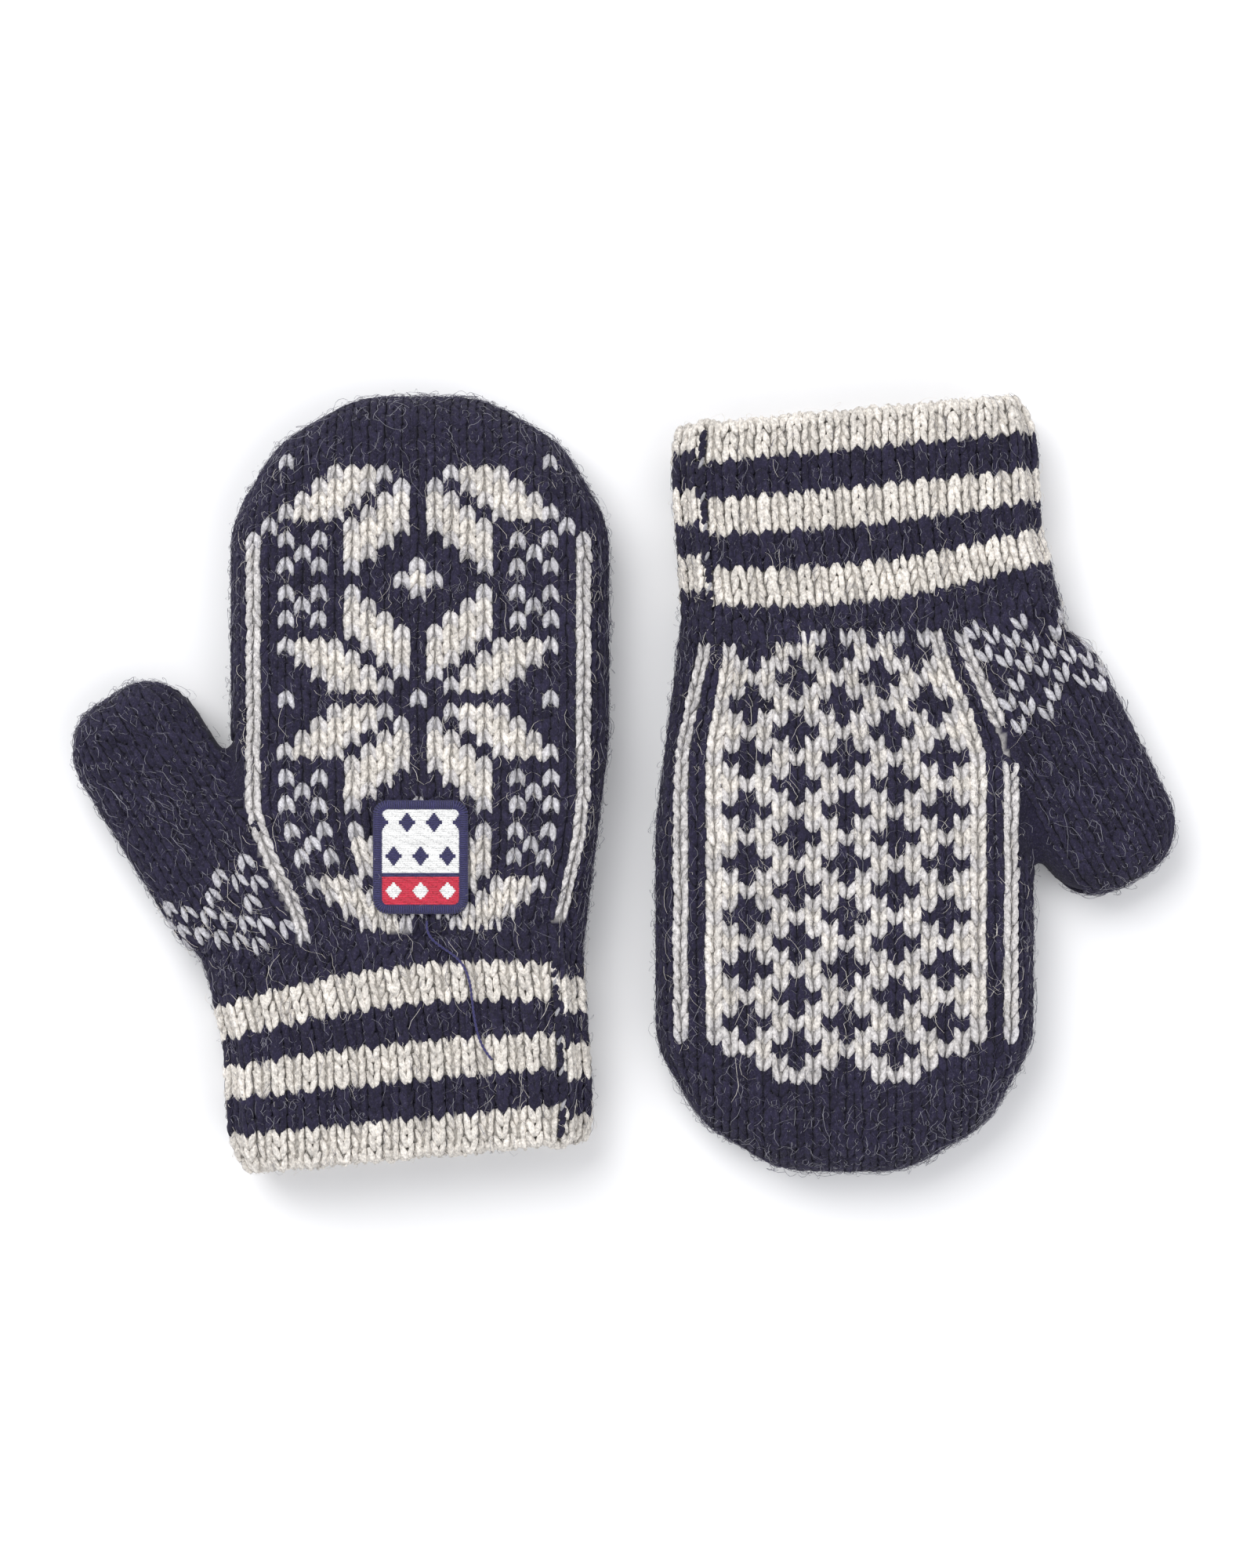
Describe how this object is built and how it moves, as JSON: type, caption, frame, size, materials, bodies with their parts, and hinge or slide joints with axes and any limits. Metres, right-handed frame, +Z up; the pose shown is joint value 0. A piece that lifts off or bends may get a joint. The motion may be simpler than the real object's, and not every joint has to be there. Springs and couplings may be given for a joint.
{
  "type": "knitted mittens",
  "caption": "Pair of felted wool colourwork mittens with striped ribbed cuffs, star back, cross palm and a sewn badge.",
  "frame": {"origin": "middle of the pair's footprint, on the surface that the mittens lie on", "axes": "+Z up from the table; +Y along the right-hand mitten's fingers; the right-hand mitten lies on -X, back up, and the left-hand mitten on +X, palm up, with its fingers along -Y"},
  "size_m": [0.2526, 0.177, 0.0246],
  "materials": {
    "navy_wool": "felted knitted wool, matt and hairy",
    "cream_wool": "felted knitted wool, matt and hairy",
    "back_pattern": "two-colour knitting, cream star figures on navy",
    "palm_pattern": "two-colour knitting, navy crosses on cream",
    "badge_weave": "woven polyester patch",
    "badge_thread": "twisted polyester sewing thread"
  },
  "bodies": {
    "right_hand": {"right_wrist_band": "navy_wool", "right_back_panel": "back_pattern", "right_palm_panel": "palm_pattern", "right_thumb_gusset": "navy_wool", "right_badge_field": "badge_weave", "right_badge_border": "badge_thread", "right_badge_thread": "badge_thread"},
    "right_cuff": {"right_cuff_hem": "cream_wool", "right_cuff_navy_lower": "navy_wool", "right_cuff_cream_lower": "cream_wool", "right_cuff_navy_upper": "navy_wool", "right_cuff_cream_upper": "cream_wool", "right_cuff_seam": "cream_wool"},
    "right_fingers": {"right_finger_back": "back_pattern", "right_finger_palm": "palm_pattern", "right_fingertip_crown": "navy_wool"},
    "right_thumb": {"right_thumb_base": "navy_wool"},
    "right_thumb_end": {"right_thumb_tip": "navy_wool"},
    "left_hand": {"left_wrist_band": "navy_wool", "left_palm_panel": "palm_pattern", "left_back_panel": "back_pattern", "left_thumb_gusset": "navy_wool"},
    "left_cuff": {"left_cuff_hem": "cream_wool", "left_cuff_navy_lower": "navy_wool", "left_cuff_cream_lower": "cream_wool", "left_cuff_navy_upper": "navy_wool", "left_cuff_cream_upper": "cream_wool", "left_cuff_seam": "cream_wool"},
    "left_fingers": {"left_finger_palm": "palm_pattern", "left_finger_back": "back_pattern", "left_fingertip_crown": "navy_wool"},
    "left_thumb": {"left_thumb_base": "navy_wool"},
    "left_thumb_end": {"left_thumb_tip": "navy_wool"}
  },
  "joints": [
    {"name": "right_wrist", "type": "hinge", "parent": "right_hand", "child": "right_cuff", "pos_m": [-0.04667, -0.03775, 0.0115], "axis": [0.9957, 0.0924, 0], "range_deg": [-25, 25], "deforming": ["right_wrist_band", "right_thumb_gusset", "right_badge_thread"]},
    {"name": "right_knuckle", "type": "hinge", "parent": "right_hand", "child": "right_fingers", "pos_m": [-0.04667, 0.026, 0], "axis": [-1, 0, 0], "range_deg": [0, 75]},
    {"name": "right_thumb_swing", "type": "hinge", "parent": "right_hand", "child": "right_thumb", "pos_m": [-0.09021, 0.00534, 0.01], "axis": [0, 0, 1], "range_deg": [-10, 16], "deforming": ["right_thumb_gusset"]},
    {"name": "right_thumb_bend", "type": "hinge", "parent": "right_thumb", "child": "right_thumb_end", "pos_m": [-0.10997, 0.00732, 0], "axis": [-0.848, -0.5299, 0], "range_deg": [0, 50]},
    {"name": "left_wrist", "type": "hinge", "parent": "left_hand", "child": "left_cuff", "pos_m": [0.05073, 0.03775, 0.0115], "axis": [-0.9957, -0.0924, 0], "range_deg": [-25, 25], "deforming": ["left_wrist_band", "left_thumb_gusset"]},
    {"name": "left_knuckle", "type": "hinge", "parent": "left_hand", "child": "left_fingers", "pos_m": [0.05073, -0.026, 0.023], "axis": [-1, 0, 0], "range_deg": [0, 75]},
    {"name": "left_thumb_swing", "type": "hinge", "parent": "left_hand", "child": "left_thumb", "pos_m": [0.09413, -0.01447, 0.01], "axis": [0, 0, 1], "range_deg": [-10, 16], "deforming": ["left_thumb_gusset"]},
    {"name": "left_thumb_bend", "type": "hinge", "parent": "left_thumb", "child": "left_thumb_end", "pos_m": [0.11213, -0.01389, 0.02], "axis": [-0.891, -0.454, 0], "range_deg": [0, 50]},
    {"name": "right_lift", "type": "slide", "parent": "left_hand", "child": "right_hand", "axis": [0, 0, 1], "range_m": [0, 0.12]}
  ]
}
